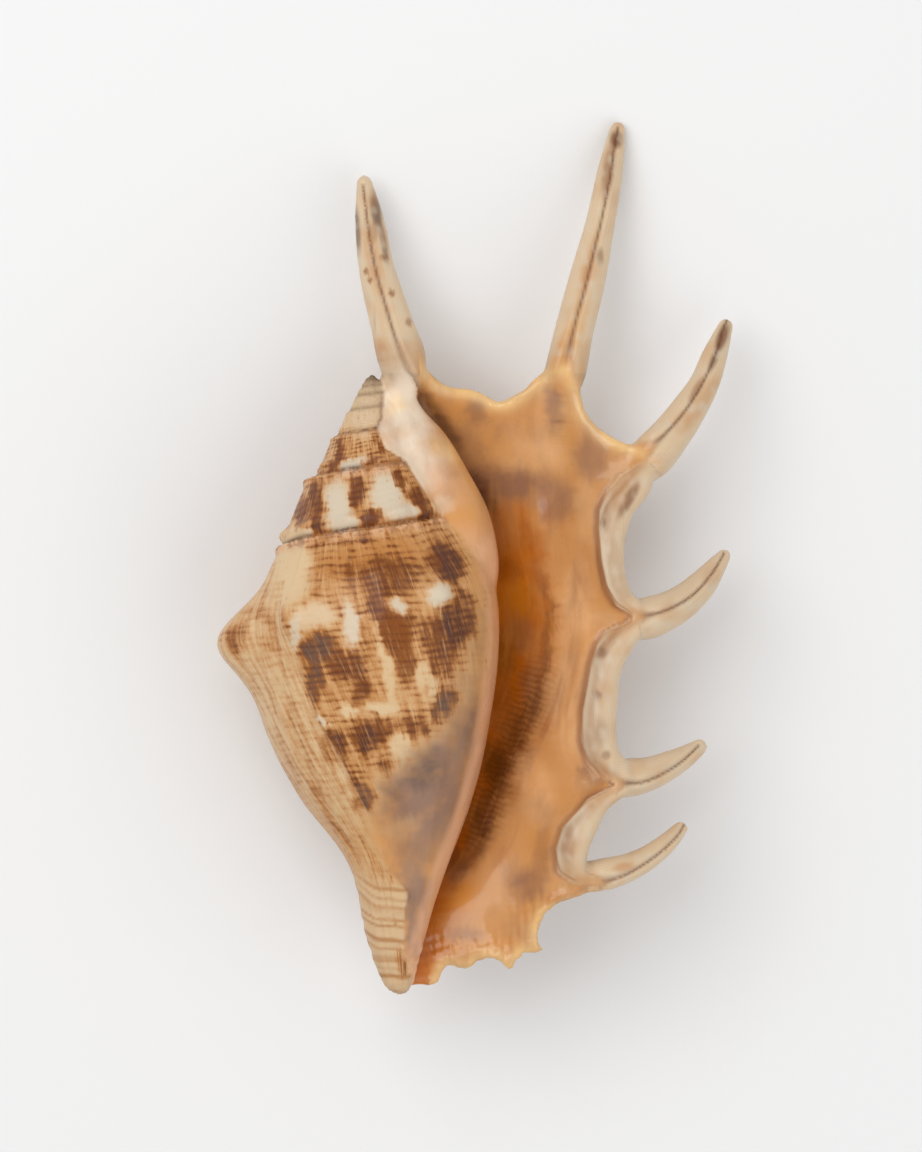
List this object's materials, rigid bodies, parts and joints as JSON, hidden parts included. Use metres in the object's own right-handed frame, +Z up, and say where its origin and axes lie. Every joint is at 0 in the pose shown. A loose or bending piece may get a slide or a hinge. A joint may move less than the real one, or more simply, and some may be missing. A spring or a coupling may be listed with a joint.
{
  "type": "conch shell",
  "caption": "Spider conch shell with a pointed spire, a knobbed body and a flared lip drawn out into long curved digits, lying on its back with the aperture up.",
  "frame": {"origin": "on the resting surface, at the centre of the shell's bounding box", "axes": "+Z up out of the aperture side, +Y along the shell from the canal tip towards the spire and the long digits, +X across towards the flared outer lip"},
  "size_m": [0.1076, 0.1764, 0.0534],
  "materials": {
    "shell": "satin to glossy shell: peach callus and lip, cream and brown mottled back"
  },
  "bodies": {
    "root": {"shell": "shell"}
  },
  "joints": []
}
